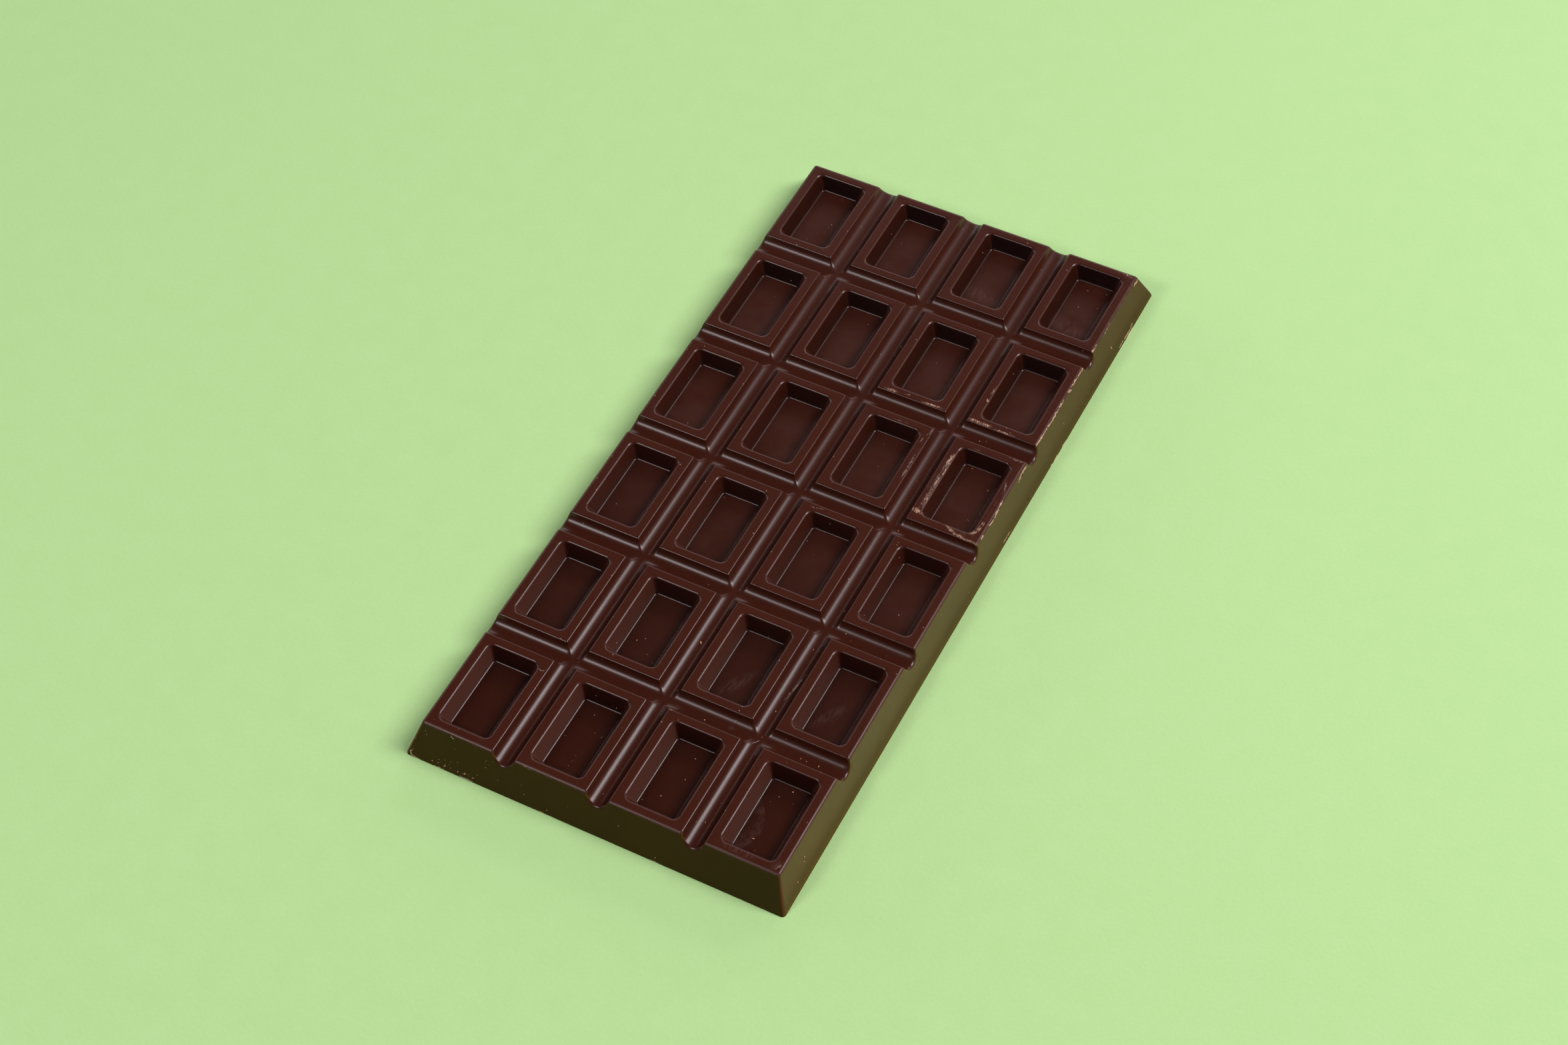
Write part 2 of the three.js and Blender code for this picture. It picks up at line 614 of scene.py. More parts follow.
def speckGroup():
    # Scattered specks: the cells of a point pattern, of which only some hold a speck
    group = bpy.data.node_groups.new("scattered specks", "ShaderNodeTree")
    group.interface.new_socket(name="Place", in_out="INPUT", socket_type="NodeSocketVector")
    for label in ("Spacing", "Size", "Emptiness"):
        group.interface.new_socket(name=label, in_out="INPUT", socket_type="NodeSocketFloat")
    group.interface.new_socket(name="Mask", in_out="OUTPUT", socket_type="NodeSocketFloat")
    given = group.nodes.new("NodeGroupInput").outputs
    result = group.nodes.new("NodeGroupOutput").inputs
    values = {"Vector": given["Place"], "Scale": calculate("DIVIDE", 1.0, given["Spacing"])}
    cells = addNode("ShaderNodeTexVoronoi", values)
    chance = addNode("ShaderNodeSeparateColor", {0: cells.outputs["Color"]})
    present = ramp(chance.outputs[0], given["Emptiness"], 1.0)
    reach = times(present, calculate("DIVIDE", given["Size"], given["Spacing"]))
    inside = calculate("SUBTRACT", reach, cells.outputs["Distance"])
    smallest, sharpness = 0.001, 3.0
    sharp = calculate("DIVIDE", inside, calculate("MAXIMUM", reach, smallest))
    group.links.new(calculate("MULTIPLY", sharp, sharpness, clamp=True), result["Mask"])
    return group


speckMask = speckGroup()


def drawStrokes(place, strokes, widening=1.0):
    # One mask for a family of strokes. A stretch between two points is a long thin ball,
    # 1 at its middle and 0 at its skin, and reaches a little past both points.
    mask = 0.0
    reaching = 0.62
    for *points, reach in strokes:
        points = [point if len(point) == 3 else (*point, height / mm) for point in points]
        for start, end in zip(points, points[1:]):
            first, last = Vector(start) * mm, Vector(end) * mm
            run = last - first
            half = reach * widening * mm
            values = {
                "Vector": place,
                "Location": (first + last) / 2,
                "Rotation": run.to_track_quat("X", "Z").to_euler(),
                "Scale": (run.length * reaching + half, half, half),
            }
            stretched = addNode("ShaderNodeMapping", values, vector_type="TEXTURE").outputs[0]
            ball = addNode("ShaderNodeTexGradient", {"Vector": stretched}, gradient_type="SPHERICAL")
            mask = calculate("MAXIMUM", mask, ball.outputs["Fac"])
    return mask


# Strokes where the surface is scraped to pale tan: the points of each in millimetres, then its
# half width. A point of two numbers lies on the top face.
scrapes = (
    # Row 5
    ((4.1, 30.1), (6.6, 30), 0.24), ((11.8, 29.9), (16.5, 30.1), 0.17),
    ((22.3, 30.1), (24.2, 30), (26.9, 30), 0.3), ((28.1, 29.7), (32.1, 29.8), 0.2),
    ((23.6, 39.9), (23.5, 37.6), 0.13), ((23.3, 36.2), (23.9, 35.6), 0.15),
    # Row 4
    ((23.6, 20.5), (23.4, 19.2), (23.5, 17.4), 0.28),
    ((23.6, 17.4), (23.6, 14.6), (23.5, 10.4), (23.6, 6.4), 0.2), ((22.2, 4.9), (24, 4.6), 0.42),
    ((30, 3.8), (32.1, 2.8), (34.4, 2.4), (36.5, 2.3), (37.1, 2.2, 7.5), 0.26),
    ((34.8, 4.2), (35.6, 5.1), (35.9, 7.6), 0.3),
    # Back corner
    ((33.7, 79.2), (36.3, 78.7), 0.16),
    # Front edge
    ((-15.4, -79.6, 7.5), (-14.3, -79.8, 7.3), (-13.6, -79.7, 7.4), 0.16),
    # Rows 1 and 2
    ((2.5, -56.9), (3.4, -56.8), 0.2), ((-4.2, -56.7, 7.5), (-2.9, -56.6, 7.5), 0.16),
)

# The same along the outer edge and on the sides, where they are thin lines
edgeScrapes = (
    # Row 4
    ((37.2, 24.4, 6.9), (37.2, 22.4, 7), (37.4, 20.8, 6.5), 0.34),
    ((36.9, 14.2), (37, 12.2, 7.4), (37.1, 9.4, 7.1), (37.1, 8.3, 7.2), (37, 7.6, 7.5), 0.24),
    ((37.1, 5, 7.3), (37.1, 4.1, 7.3), 0.28),
    # Row 5
    ((37, 51.9, 7.3), (37, 49.3, 7.3), (37, 46.4, 7.4), 0.19), ((37.2, 46, 7.1), (37, 45.1, 7.5), 0.34),
    ((37, 42.8, 7.4), (37, 39.7, 7.3), (37.1, 37, 7.2), (37, 33.4, 7.3), (37, 29.8, 7.4), 0.22),
    # Row 6
    ((37, 59.1, 7.5), (37.1, 58.3, 7.3), 0.22), ((37.1, 57.8, 7.3), (36.9, 56.6), 0.34),
    ((37.1, 65.5, 7.3), (37.2, 62.3, 7.1), 0.16),
    # Back corner
    ((37.3, 79.3, 6.9), (37.3, 77.7, 6.9), 0.34),
    # Long side
    ((39.2, 73, 1.1), (39.4, 71.7, 0.5), (39.4, 68, 0.6), (39.4, 66, 0.6), 0.2),
    ((39.5, 73.2, 0.2), (39.5, 69.1, 0.1), 0.16), ((38.4, 63.1, 3.4), (38.8, 63.6, 2.3), 0.14),
    ((39.5, 38.9, 0.2), (39.5, 37, 0.2), 0.2), ((39.5, 34.9, 0.1), (39.5, 33.4, 0.1), 0.2),
    ((39.3, 13, 0.8), (39.3, 9.8, 0.8), 0.16),
    # Foot of the front
    ((-38.2, -82.4, 1.4), (-38.6, -82.6, 0.9), (-38.2, -82.9, 0.3), (-36.6, -83, 0.1), 0.18),
    ((-33.8, -83, 0.1), (-31.1, -83, 0.1), 0.18), ((-28.3, -83, 0.2), (-25, -83, 0.2), 0.16),
    ((-12, -83, 0.1), (-7, -83, 0.1), 0.13), ((12, -83, 0.1), (14.5, -83, 0.1), 0.13),
)

# Thin pale scratches and short hairs, in the same way
scratches = (
    # Row 4
    ((23.3, 20.4), (23.2, 15.6), (23.3, 10.4), (23.2, 5.6), 0.36), ((8.7, 23.5), (12.4, 23.7), 0.1),
    ((26.3, 23.5), (28.1, 23.4), 0.12), ((33.7, 24.4), (36.6, 24.5), 0.18),
    ((17.1, 24.6), (16.7, 22.7), 0.2), ((16.2, 21.9), (16.2, 20.5), 0.2),
    ((16.7, 17.6), (16.8, 13.3), (16.8, 11.1), 0.24), ((31.7, 9.2, 4.5), (32.3, 9, 4.5), 0.12),
    ((35.5, 18.9), (36.4, 16.1), 0.22),
    # Row 5
    ((8.2, 30.2), (9.3, 30.6), 0.22),
    # Rows 1 and 2
    ((35.4, -73), (35.7, -72.2), 0.12), ((35.7, -79), (36.3, -77.3), 0.2),
    ((-3.3, -64.2), (-3.2, -64.8), 0.1), ((-13.3, -51.2), (-12.8, -50.9), (-12.7, -51.3), 0.1),
    ((-8.7, -46.3, 4.5), (-8.1, -46.1, 4.5), 0.1), ((-6.9, -66.5, 4.5), (-6.7, -65.9, 4.5), 0.1),
    ((-23.5, -59.9), (-22.9, -60.1), (-22.4, -59.6), 0.12), ((1.2, -50.2), (1.5, -49.4), 0.2),
    # Row 3
    ((4.2, -3.3), (5.4, -3.3), (6.7, -2.8), 0.16),
    # Channels
    ((21, -37.9, 5.9), (19.9, -44.7, 5.7), 0.3), ((20.9, -39.6, 5.9), (20.4, -42.9, 5.7), 0.14),
)

# Broad, faint veils where the gloss is rubbed off
veils = (
    # Rows 1 and 2
    ((24.3, -78.1), (32, -78.2), 1.1), ((35.2, -78.6), (36.3, -76.8), 0.9),
    ((27, -46.5, 4.5), (30.2, -40.8, 4.5), 1.6), ((7.8, -48, 4.5), (11.5, -42, 4.5), 1.8),
    # Row 4
    ((31, 4), (35.8, 3.6), 1), ((22.8, 19.4), (22.9, 7), 0.9), ((36.3, 19.2), (36.2, 8), 0.9),
    ((16.8, 20.5), (16.9, 10), 0.8),
    # Row 6
    ((26.5, 63.4, 4.5), (31.4, 62.8, 4.5), 2.6), ((7.2, 63.8, 4.5), (11.5, 63.2, 4.5), 2.2),
    # Channels
    ((13.2, -54.5, 5.6), (14.6, -54.5, 5.6), 0.6), ((2.2, -54.7, 5.6), (3.6, -54.7, 5.6), 0.5),
    # Back edge
    ((32.5, 79), (36.6, 78.2), 0.7),
)

# How the strokes break up: one shows where it and the flecks together pass the threshold.
wear = {
    "stir": (1500.0, 2.0),           # scale and detail of what pushes the places about
    "push": 0.5 * mm,
    "slant": (0, 0, math.radians(-32)),
    "fleckStretch": (1, 0.25, 0.6),
    "flecks": 1.75,
    "crumbled": 0.65,
    "scraped": {"widening": 1.7, "flecks": 2.8, "threshold": 4.12, "steepness": 2.0, "rim": (0.02, 0.2)},
    "edged": {"widening": 0.85, "flecks": 1.3, "threshold": 1.62, "steepness": 4.0, "rim": (0.02, 0.2)},
    "scratched": {"widening": 1.3, "flecks": 1.6, "threshold": 2.3, "steepness": 2.0, "rim": (0.02, 0.1)},
}

# A wiped fan of fine arcs on the floor of the first row's last recess
fan = {"centre": (21.5, -71.4, 4.5), "spacing": 0.31, "haze": 0.45, "lines": 0.3}

specks = {"Spacing": 1.3 * mm, "Size": 0.12 * mm, "Emptiness": 0.72}

chocolate = {
    "colour": (0.047, 0.0078, 0.002),
    # painted shade: darker colour lower down, in the recesses and channels
    "paintedRecessShadeColour": (0.036, 0.0058, 0.0015),
    # painted green bounce and shade on the side walls; the long sides above the foot get a painted light
    # colour, lighter and redder
    "paintedSideBounceColour": (0.034, 0.019, 0.0008),
    "paintedLitSideColour": (0.066, 0.0235, 0.001),
    "paintedGlowColour": (0.115, 0.026, 0.0065),
    # painted sheen on the left walls of the recesses
    "paintedWallSheenColour": (0.1, 0.036, 0.024),
    # greyish bloom, with the painted wall sheen added to it
    "bloomAndSheenColour": (0.24, 0.165, 0.15),
    "scrapeColour": (0.56, 0.36, 0.26),
    "scratchColour": (0.42, 0.33, 0.28),
    "speckColour": (0.62, 0.5, 0.38),
    "edgeWidth": 0.42,
    "roughness": 0.45,
    "specular": 0.11,
    "specularTint": (1, 0.93, 0.92, 1),
    "coat": 0.64,
    "coatRoughness": 0.26,
    "waveHeight": 0.012 * mm,
    "grainHeight": 0.002 * mm,
}

# The patterns in the chocolate: scale, detail and roughness of each
patterns = {
    "crumbled": (3400, 3, 0.65),
    "fanGaps": (620, 4, 0.6),
    "clouds": (170, 3, 0.55),
    "mottling": (420, 4, 0.6),
    "shade": (90, 3, 0.5),
    "smears": (240, 4, 0.6),
    "waves": (140, 2, 0.5),
    "grain": (2600, 3, 0.5),
}
slantPatterns = {"flecks": (5200, 3, 0.6), "streaks": (1900, 3, 0.55)}

# Masks of the surface, each the product of earlier ones, of what those leave over and of reaches.
# A reach is a measure, where it begins and where it is full: places in millimetres from the middle
# or the base, the way the surface faces and patterns in plain numbers.
areas = {
    "recess": (("offMiddle", 5.75, 5.45), ("offCentre", 9.75, 9.45)),
    "depth": (("z", 7, 4.6),),
    "floor": ("recess", ("z", 4.95, 4.75), ("z", 2, 3)),
    "leftWall": ("recess", ("z", 7.55, 7.2), ("facingX", 0.5, 0.85)),
    "backWall": ("recess", ("z", 7.55, 7.2), ("facingY", -0.5, -0.85)),
    "wallFoot": ("floor", ("facingZ", 0.985, 0.95)),
    "frontFoot": ("wallFoot", ("y", 90, -70)),
    "side": (("outside", -0.1, 0.1), ("facingZ", 0.85, 0.55), ("facingZ", -0.9, -0.6)),
    "longSide": ("side", ("facingAside", 0.4, 0.7)),
    # the sides lighter toward the front, and the long sides at their foot, as painted light
    "sideFront": ("side", ("y", 80, -90)),
    "sideFoot": ("longSide", ("z", 1.8, 0)),
    # where the long sides take the painted light colour
    "aboveFoot": ("longSide", ("z", -0.5, 3.5)),
    "polishedSide": ("longSide", ("y", 170, -90), ("z", -2.5, 5)),
    "underside": (("z", 0.06, 0.02),),
    # channel slopes facing left, which get painted shade and less gloss
    "leftSlope": (("z", 7.58, 7.3), "not side", "not recess", ("facingX", -0.2, -0.6)),
    "rearRows": (("y", -60, 20),),
    "frontRows": (("y", -40, -80),),
    "frontFloor": ("floor", "frontRows"),
    # floor masks for painted shade: darker in the front rows, near the sides, toward the right and toward
    # the back wall
    "floorFront": ("floor", "not rearRows"),
    "floorSides": ("floor", ("offMiddle", 1.5, 4.5)),
    "floorRight": ("floor", ("across", 1, 4)),
    "floorBack": ("floor", ("along", 1, 7.5)),
    # the left walls in the rear rows, darkened as painted shade and dulled
    "rearWall": ("leftWall", ("y", -60, 60)),
    # the back walls in the rear rows, darkened further as painted shade
    "farBackWall": ("backWall", ("y", 0, 70)),
    # painted sheen on the left walls of the recesses, strongest in the front rows
    "paintedWallSheen": ("leftWall", ("y", 10, -85)),
    # the recess floors of the rear rows paler and greyer in patches, more so toward each floor's front
    "rearFloorPaling": ("floor", "rearRows", ("clouds", 0.2, 0.75)),
    "rearFloorPalingFront": ("rearFloorPaling", ("along", 8, -3)),
    "mottle": (("mottling", 0.4, 0.75),),
    # a faint greyish cast toward the back-left, off the recesses, between 3 and 6 mm up
    "farCorner": (("y", 20, 80), ("x", 25, -35), "not recess", ("z", 3, 6)),
    "rubbed": (("outside", -0.5, -0.25), ("outside", 0.25, 0.1), ("z", 7, 7.3)),
    "rubbedMottle": ("rubbed", "mottle"),
    "fanArea": ("floor", ("y", -62.5, -66), ("x", 24.8, 25.6), ("fanGaps", 0.32, 0.7)),
    "fanArcs": ("fanArea", ("radius", 3.2, 7.4), ("radius", 7.45, 7.4)),
    "smear": (("scraped", 0, 0.55), ("flecks", 0.3, 0.62)),
    "veil": (("veiled", 0, 0.8), ("streaks", 0.35, 0.68)),
    # painted glow along the upright edges
    "paintedGlow": (("upright", 0, 0.5),),
}

# How much of the greyish bloom and sheen each mask leaves: the mottling, veils, fan and rubbed edges are
# wear, the wall sheen is painted, and the rear floors and far corner only turn paler and greyer there
bloomAndSheenShares = {
    "mottle": 0.0066, "rearFloorPaling": 0.01375, "rearFloorPalingFront": 0.04125, "veil": 0.11, "fan": 0.26,
    "paintedWallSheen": 0.04, "farCorner": 0.03, "rubbed": 0.11, "rubbedMottle": 0.11,
}

# Painted shade: how much darker each makes the colour, or painted light, lighter, where it is below nought
paintedShades = (
    {"rearWall": 0.42, "backWall": 0.52, "farBackWall": 0.24, "leftSlope": 0.38},
    {"floor": -0.12, "floorFront": 0.26, "floorSides": 0.22, "floorRight": 0.12, "floorBack": 0.22},
    {"sideFront": -0.3},
    {"sideFoot": -1.0},
)
cloudShade = {"least": 0.85, "change": 0.3}

# How much of the gloss each takes away, and what each adds to the roughness and the coat
dulls = {"worn": 1.0, "bloomAndSheen": 3.0, "smear": 0.6, "underside": 0.7}
wallDulls = {"rearWall": 0.9, "backWall": 0.7, "frontFloor": 0.5, "frontRows": 0.2}
slopeDulls = {"leftSlope": 0.5}
smearGloss = {"most": 1.15, "change": -0.3}
roughnesses = {"clouds": 0.1, "worn": 0.35, "underside": 0.1}
coats = {"side": -0.54, "polishedSide": 1.0, "frontFoot": 0.1}

# What is laid over the chocolate's colour, from the lowest: its mask, how well it covers, and its colour.
# The glow is painted light and the bloom layer carries the painted wall sheen; the scratches, scrapes and
# specks lie on the chocolate.
layers = (
    ("paintedGlow", 0.85, "paintedGlowColour"),
    ("paintedWallSheen", 0.5, "paintedWallSheenColour"),
    ("bloomAndSheen", 1.0, "bloomAndSheenColour"),
    ("scratch", 0.5, "scratchColour"),
    ("smear", 0.32, "scrapeColour"),
    ("scrape", 1.0, "scrapeColour"),
    ("speck", 0.7, "speckColour"),
)


def edgeStrokes():
    # The thin upright edges, given a painted red glow for the light that shines through the chocolate
    strokes = []
    topInset, footInset = 0.08 * mm, 0.2 * mm
    for sideX in (-1, 1):
        for sideY in (-1, 1):
            ends = []
            for level, inset in ((height, topInset), (0.0, footInset)):
                halfX, halfY = halfSizes(level)
                place = Vector((sideX * (halfX - inset), sideY * (halfY - inset), level))
                ends.append(place / mm)
            strokes.append((*ends, chocolate["edgeWidth"]))
    return strokes


def measureSurface(place, normal):
    # What the masks are made from: the places on the bar and in a piece, and the way the surface faces
    x, y, z = addNode("ShaderNodeSeparateXYZ", {0: place}).outputs
    facingX, facingY, facingZ = addNode("ShaderNodeSeparateXYZ", {0: normal}).outputs
    across = calculate("SUBTRACT", calculate("WRAP", x, columnPitch, 0.0), columnPitch / 2)
    along = calculate("SUBTRACT", calculate("WRAP", y, rowPitch, 0.0), rowPitch / 2)
    outsideX = calculate("SUBTRACT", distance(x), topWidth / 2)
    outsideY = calculate("SUBTRACT", distance(y), topLength / 2)
    fromCentre = combine("SUBTRACT", place, Vector(fan["centre"]) * mm)
    lengths = {
        "x": x,
        "y": y,
        "z": z,
        "across": across,
        "along": along,
        "offMiddle": distance(across),
        "offCentre": distance(along),
        "outside": calculate("MAXIMUM", outsideX, outsideY),
        "radius": addNode("ShaderNodeVectorMath", {0: fromCentre}, operation="LENGTH").outputs["Value"],
    }
    facings = {
        "facingX": facingX,
        "facingY": facingY,
        "facingZ": facingZ,
        "facingAside": distance(facingX),
    }
    return lengths, facings


def buildMasks(lengths, plain):
    measures = {**lengths, **plain}
    masks = {}
    for name, factors in areas.items():
        parts = []
        for factor in factors:
            if isinstance(factor, tuple):
                measure, start, full = factor
                unit = mm if measure in lengths else 1.0
                parts.append(ramp(measures[measure], start * unit, full * unit))
            elif factor.startswith("not "):
                parts.append(rest(masks[factor.removeprefix("not ")]))
            else:
                parts.append(masks[factor])
        masks[name] = times(*parts)
    return masks


def weigh(total, masks, amounts, clamp=False):
    # The total, with the given amount of each mask added to it
    for name, amount in amounts.items():
        total = calculate("MULTIPLY_ADD", masks[name], amount, total, clamp)
    return total


def breakUp(stroke, broken, values):
    # A stroke shows only where the flecks are dense enough.
    ragged = calculate("SUBTRACT", stroke, values["threshold"])
    ragged = calculate("MULTIPLY_ADD", broken, values["flecks"], ragged)
    ragged = calculate("MULTIPLY", ragged, values["steepness"], clamp=True)
    return times(ragged, ramp(stroke, *values["rim"]))


def wearSurface(place):
    # Places pushed about a little, so that no stroke is ruler-straight
    scale, detail = wear["stir"]
    stir = addNode("ShaderNodeTexNoise", {"Vector": place, "Scale": scale, "Detail": detail})
    centred = combine("SUBTRACT", stir.outputs["Color"], (0.5, 0.5, 0.5))
    push = addNode("ShaderNodeVectorMath", {0: centred, "Scale": wear["push"]}, operation="SCALE").outputs[0]
    stirred = combine("ADD", place, push)

    # Short slanting flecks break up the scrapes and scratches.
    values = {"Vector": place, "Rotation": wear["slant"], "Scale": wear["fleckStretch"]}
    slant = addNode("ShaderNodeMapping", values).outputs[0]
    plain = {name: blotches(place, *values) for name, values in patterns.items()}
    plain.update({name: blotches(slant, *values) for name, values in slantPatterns.items()})
    crumbled = times(plain["crumbled"], wear["crumbled"])
    broken = calculate("MULTIPLY_ADD", plain["flecks"], wear["flecks"], crumbled)

    families = {"scraped": scrapes, "edged": edgeScrapes, "scratched": scratches}
    shown = {}
    for name, strokes in families.items():
        plain[name] = drawStrokes(stirred, strokes, wear[name]["widening"])
        shown[name] = breakUp(plain[name], broken, wear[name])
    plain["veiled"] = drawStrokes(stirred, veils)
    plain["upright"] = drawStrokes(place, edgeStrokes())
    scrape = calculate("MAXIMUM", shown["scraped"], shown["edged"])
    speck = addNode("ShaderNodeGroup", {"Place": place, **specks}, node_tree=speckMask).outputs["Mask"]
    worn = {"scrape": scrape, "scratch": shown["scratched"], "speck": speck}
    worn["worn"] = calculate("MAXIMUM", scrape, speck)
    return plain, worn


def chocolateMaterial():
    material, shader, place = newMaterial("tempered_chocolate")
    normal = addNode("ShaderNodeNewGeometry", {}, material.node_tree).outputs["Normal"]
    lengths, facings = measureSurface(place, normal)
    plain, worn = wearSurface(place)
    masks = buildMasks(lengths, {**plain, **facings})
    masks.update(worn, clouds=plain["clouds"])
    arcs = calculate("SINE", times(lengths["radius"], 2 * math.pi / (fan["spacing"] * mm)))
    lines = calculate("MULTIPLY_ADD", arcs, fan["lines"], fan["haze"])
    masks["fan"] = times(masks["fanArcs"], lines)
    masks["bloomAndSheen"] = weigh(0.0, masks, bloomAndSheenShares)

    # Colour, from the clean chocolate through painted shade and light to what is laid over it
    # Painted shade: darker lower down, in the recesses and channels
    base = mixColour(masks["depth"], chocolate["colour"], chocolate["paintedRecessShadeColour"])
    # Painted green bounce and shade on the side walls, painted light on the long sides above the foot
    base = mixColour(masks["side"], base, chocolate["paintedSideBounceColour"])
    base = mixColour(masks["aboveFoot"], base, chocolate["paintedLitSideColour"])
    # Random cloudy tone, times the painted shade of the walls, slopes and floors and the painted light of
    # the sides
    shade = calculate("MULTIPLY_ADD", plain["shade"], cloudShade["change"], cloudShade["least"])
    shade = times(shade, *(rest(weigh(0.0, masks, amounts)) for amounts in paintedShades))
    grey = addNode("ShaderNodeCombineXYZ", {0: shade, 1: shade, 2: shade}).outputs[0]
    base = combine("MULTIPLY", base, grey)
    for name, cover, colour in layers:
        base = mixColour(times(masks[name], cover), base, chocolate[colour])

    # Gloss: the worn places and the walls are duller, the foot of the walls is not
    walls = weigh(0.0, masks, wallDulls, clamp=True)
    walls = weigh(times(walls, rest(masks["wallFoot"])), masks, slopeDulls, clamp=True)
    smears = calculate("MULTIPLY_ADD", plain["smears"], smearGloss["change"], smearGloss["most"])
    gloss = times(rest(weigh(0.0, masks, dulls, clamp=True)), smears, rest(walls))
    coat = weigh(chocolate["coat"], masks, coats)

    # Relief: slow waves and fine grain
    waves = times(plain["waves"], chocolate["waveHeight"])
    grain = calculate("MULTIPLY_ADD", plain["grain"], chocolate["grainHeight"], waves)
    feed(shader, {
        "Base Color": base,
        "Roughness": weigh(chocolate["roughness"], masks, roughnesses),
        "Coat Weight": calculate("MULTIPLY", gloss, coat, clamp=True),
        "Normal": relief(grain),
        "Specular IOR Level": chocolate["specular"],
        "Specular Tint": chocolate["specularTint"],
        "Coat Roughness": chocolate["coatRoughness"],
    })
    return material


paper = {
    "colour": (0.535, 0.84, 0.39),
    "shade": (0.485, 0.79, 0.33),
    "grain": (1300, 4, 0.65),
    "clouds": (160, 3),
    "grainLoss": 0.25,
    "cloudShare": 0.6,
    "roughness": 0.9,
    "specular": 0.1,
    "grainHeight": 0.05 * mm,
}


def paperMaterial():
    material, shader, place = newMaterial("green_paper")
    grain, clouds = (blotches(place, *paper[name]) for name in ("grain", "clouds"))
    share = calculate("SUBTRACT", grain, paper["grainLoss"])
    share = calculate("MULTIPLY_ADD", clouds, paper["cloudShare"], share, clamp=True)
    feed(shader, {
        "Base Color": mixColour(share, paper["colour"], paper["shade"]),
        "Normal": relief(times(grain, paper["grainHeight"])),
        "Roughness": paper["roughness"],
        "Specular IOR Level": paper["specular"],
    })
    return material


darkTablet.data.materials.clear()
darkTablet.data.materials.append(chocolateMaterial())
print("the tablet has its material")


# Crumbs that lie loose on the tablet: the smallest and the largest size and the places,
# in millimetres. Each is moved to the nearest spot of the surface.
tanCrumbs = {
    "seed": 11,
    "size": (0.16, 0.3),
    "colours": ((0.66, 0.42, 0.24), (0.4, 0.22, 0.11)),
    "places": (
        # Channels
        (8.8, -55.2, 5.8), (28.5, -54.9, 5.7), (29.7, -55, 5.7), (32.2, -55, 5.7), (20, -53.9, 5.7),
        (19.6, -47.7, 5.6), (-0.2, -40.1, 5.6), (21.4, 0, 5.8),
        # Recess floors
        (28.3, -73.2, 4.5), (30.2, -61.3, 4.5), (28.4, -63.3, 4.5), (-7.3, -59.1, 4.9),
        (11.4, -67.6, 4.5), (10.9, -62.8, 4.5), (27.2, 21.1, 4.5), (32.3, 17.4, 4.5),
        # Foot of the front
        (-27.2, -82.6, 0.9), (-26.8, -82.5, 1.1), (-25, -82.6, 1), (-28.3, -82.6, 0.9), (-32.6, -82.6, 1),
        (-33.8, -82.6, 0.9), (-31.1, -82.6, 0.9), (-9.4, -82.6, 0.9), (13.2, -82.6, 0.9),
        # Long side
        (38.3, 40, 3.7), (38.1, -72.4, 4.3), (38.3, -72.9, 3.6), (38.8, -76.5, 2.2),
    ),
}
darkCrumbs = {
    "seed": 12,
    "size": (0.14, 0.26),
    "colours": ((0.1, 0.03, 0.014), (0.2, 0.09, 0.05)),
    "places": (
        # Channels
        (24.4, -52.7, 6.4), (-18.6, -54.2, 5.6), (-19.2, -55.4, 5.6), (-2, -56.3, 6.4),
        (20.1, -77.2, 5.6), (19.3, -74.3, 5.6), (20, -69.8, 5.6), (20.4, -75.3, 5.7), (19.3, 12.5, 5.6),
        (20.2, 11.1, 5.6), (19.2, 7.6, 5.6), (0.6, -68.9, 5.6), (-0.1, -41.8, 5.6), (15.6, 0.3, 5.6),
        # Recess floors
        (27.4, -64.9, 4.5), (31.3, -63.6, 4.5), (26.5, -71.6, 4.5), (-8.4, -66, 4.5), (-9.1, -71.9, 4.5),
        (-9.1, -73.2, 4.5), (-9.2, -74.4, 4.5), (-6, -74.5, 4.5), (32.3, 70.4, 4.5),
        # Long side
        (39.2, 75, 1), (39.2, 73.2, 1.1), (39.2, 21.7, 0.9), (39.2, 24.6, 0.9), (39.1, 54.9, 1.2),
        (39.1, 52.7, 1.2), (39.1, 50.6, 1.2),
    ),
}
paleCrumbs = {
    "seed": 13,
    "size": (0.07, 0.13),
    "colours": ((0.62, 0.55, 0.46), (0.46, 0.35, 0.25)),
    "places": (
        # Channels
        (25.9, 1.8, 6.4), (24.9, -27.3, 5.6), (-5.8, -56.2, 6.4),
        # Front
        (-26, -82.5, 1.2), (-24.3, -82.2, 1.9), (-22.8, -81.2, 4), (-22.9, -80.6, 5.3),
        (-21.6, -80.4, 5.7), (-20, -81.8, 2.6), (-15.2, -81.4, 3.6), (-36, -80.2, 6.1),
        (-35.7, -80.5, 5.4), (-37.8, -81.2, 3.9), (-31.2, -82.1, 2.1), (-30, -82, 2.2),
        (-32.2, -82.5, 1.1), (-31, -82.4, 1.3), (-30.3, -82.4, 1.5), (-28.6, -81.8, 2.6),
        (-29.9, -82.6, 1), (-29.5, -80.7, 5), (-32.5, -82.3, 1.7), (-25.8, -82.6, 0.9),
    ),
}

# What all crumbs share
crumb = {
    "fineness": 2,
    "sunk": 0.22,                    # how deep each lies, as a share of its size
    "jag": 0.24,
    "stretch": ((0.9, 1.7), (0.7, 1.1), (0.5, 0.85)),
    "lean": 0.5,                     # radians
    "patches": (6000.0, 3.0, 0.6),
    "patchFade": (0.35, 0.65),
    "grain": (16000.0, 3.0),
    "grainHeight": 0.02 * mm,
    "roughness": 0.85,
    "specular": 0.25,
}


